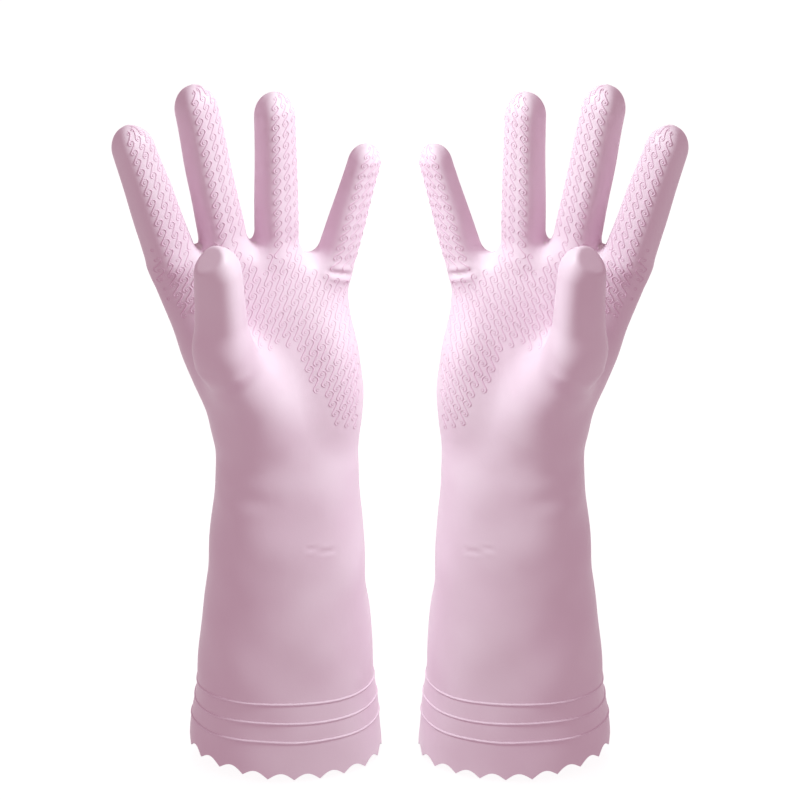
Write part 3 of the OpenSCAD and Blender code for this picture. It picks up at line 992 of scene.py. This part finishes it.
# Cell sizes of the skin's and the lining's grids
FINE_STEP, FINE_TALL = ((1.1, 2.2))
COARSE_STEP = 2.8
PARTS = ["cuff", "wrist", "palm", "thumb_base", "thumb_tip"] + [
    f"{name}_{part}" for name in FINGERS for part in ("base", "middle", "tip")
]

skin = skin_mesh(FINE_STEP, FINE_TALL)
skin_names = divide(skin[0], skin[2])
lining = skin_mesh(COARSE_STEP, COARSE_STEP)
lining_names = divide(lining[0], lining[2])
pattern = pattern_mesh()
pattern_names = pattern_divide(pattern[0], pattern[2])
lower = cuff_sheet(ROWS)
lower_lining = cuff_sheet(LINING_ROWS)
beads = [bead(height) for height in BEADS_Z]

groups = {}
for side in ("left", "right"):
    made = []
    for part in PARTS:
        chosen = skin_names == part
        parts = [solid_sheet(*skin[:2], skin[2][chosen], 0.0, WALL)]
        mine = pattern_names == part
        materials = [RUBBER]
        if mine.any():
            parts.append(part_of(*pattern, mine))
            # The ribs take the darker copy of the rubber, whose deeper pink is painted shade
            materials.append(RIDGES_PAINTED_SHADE)
        if part == "cuff":
            parts.append(solid_sheet(*lower, 0.0, WALL))
        piece = make(f"{side}_{part}_skin", sided(side, parts), materials)
        attach(piece, side, part)
        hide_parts(f"{side}_{node_of(part)}")
        if part == "cuff":
            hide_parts(f"{side}_cuff_rim")
        made.append(piece)
    ring = make(f"{side}_beads_skin", sided(side, beads), [RUBBER])
    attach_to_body(ring, f"{side}_cuff")
    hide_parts(f"{side}_cuff_beads")
    made.append(ring)
    for part in ("cuff", "wrist", "palm"):
        parts = [solid_sheet(*lining[:2], lining[2][lining_names == part], WALL, WALL + FLOCK)]
        if part == "cuff":
            parts.append(solid_sheet(*lower_lining, WALL, WALL + FLOCK))
        piece = make(f"{side}_{part}_flock", sided(side, parts), [FLOCKED])
        attach(piece, side, part)
        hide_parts(f"{side}_{'palm' if part == 'wrist' else part}_lining")
        made.append(piece)
    groups[side] = made


# ---- Floor, camera and lights ----

def floor_material(name, strength):
    """A pale surface that glows a little, so that it is near white in the picture."""
    material = bpy.data.materials.new(name)
    material.use_nodes = True
    shader = material.node_tree.nodes["Principled BSDF"]
    shader.inputs["Base Color"].default_value = (0.25, 0.25, 0.25, 1)
    shader.inputs["Roughness"].default_value = 0.6
    shader.inputs["Emission Color"].default_value = (1, 1, 1, 1)
    shader.inputs["Emission Strength"].default_value = strength
    return material


FLOOR_REACH, FLOOR_GAP = 12.0, 0.0003
floor_mesh = bpy.data.meshes.new("floor")
floor_mesh.from_pydata(
    [(x * FLOOR_REACH, y * FLOOR_REACH, 0) for x, y in ((-1, -1), (1, -1), (1, 1), (-1, 1))],
    [], [(0, 1, 2, 3)],
)
floor = bpy.data.objects.new("floor", floor_mesh)
bpy.context.scene.collection.objects.link(floor)
floor.location.z = cad_box[0][2] - FLOOR_GAP
floor_mesh.materials.append(floor_material("pale_floor", 0.9))
floor.visible_diffuse = False

CAMERA_TILT, CAMERA_FAR, AIM_Z = math.radians(18), 1.010, 0.173
camera = bpy.data.objects.new("camera", bpy.data.cameras.new("camera"))
bpy.context.scene.collection.objects.link(camera)
camera.data.lens, camera.data.sensor_width = 100.0, 36.0
camera.location = (
    0,
    WRIST_AT[1] * MM - CAMERA_FAR * math.cos(CAMERA_TILT),
    AIM_Z + CAMERA_FAR * math.sin(CAMERA_TILT),
)
camera.rotation_euler = (math.pi / 2 - CAMERA_TILT, 0, 0)
bpy.context.scene.camera = camera


def lamp(name, place, aim, size, power, colour, only=None):
    """A round area light; with only, it lights and is blocked by those pieces alone."""
    data = bpy.data.lights.new(name, "AREA")
    data.shape, data.size, data.energy, data.color = "DISK", size, power, colour
    light = bpy.data.objects.new(name, data)
    bpy.context.scene.collection.objects.link(light)
    light.location = place
    light.rotation_euler = (Vector(aim) - Vector(place)).to_track_quat("-Z", "Y").to_euler()
    if only:
        group = bpy.data.collections.new(name + "_group")
        for piece in only:
            group.objects.link(piece)
        light.light_linking.receiver_collection = group
        light.light_linking.blocker_collection = group


# The photo lights the two gloves as mirror images, so each glove has a key light of its own
KEY_PLACE, KEY_AIM = (0.26, -0.12, 0.55), (-0.06, 0, 0.2)
KEY_SIZE, KEY_POWER, TOP_POWER, REAR_POWER = 0.14, 2.25, 0.4, 2.5
KEY_COLOUR, SOFT_COLOUR, AMBIENT = (0.77, 1.0, 0.90), (1.0, 0.97, 0.98), (0.515, 0.395, 0.425)
SOFT_AIM, SOFT_SIZE = (0, 0, 0.15), 0.9
for side, way in (("left", 1), ("right", -1)):
    place, aim = ((way * x, y, z) for x, y, z in (KEY_PLACE, KEY_AIM))
    lamp(f"key_{side}", place, aim, KEY_SIZE, KEY_POWER, KEY_COLOUR, groups[side])
lamp("top", (0, -0.2, 1.5), SOFT_AIM, SOFT_SIZE, TOP_POWER, SOFT_COLOUR)
lamp("rear", (0, 1.3, 0.9), SOFT_AIM, SOFT_SIZE, REAR_POWER, SOFT_COLOUR)

# The camera sees a white backdrop, and the gloves are lit by a pinkish ambient light
world = bpy.data.worlds.new("studio")
bpy.context.scene.world = world
world.use_nodes = True
nodes, links = world.node_tree.nodes, world.node_tree.links
nodes.clear()
path, ambient, backdrop, mix, out = (
    nodes.new("ShaderNode" + kind)
    for kind in ("LightPath", "Background", "Background", "MixShader", "OutputWorld")
)
ambient.inputs[0].default_value = (*AMBIENT, 1)
backdrop.inputs[0].default_value = (1, 1, 1, 1)
links.new(path.outputs["Is Camera Ray"], mix.inputs[0])
links.new(ambient.outputs[0], mix.inputs[1])
links.new(backdrop.outputs[0], mix.inputs[2])
links.new(mix.outputs[0], out.inputs[0])

bpy.context.scene.view_settings.view_transform = "Standard"
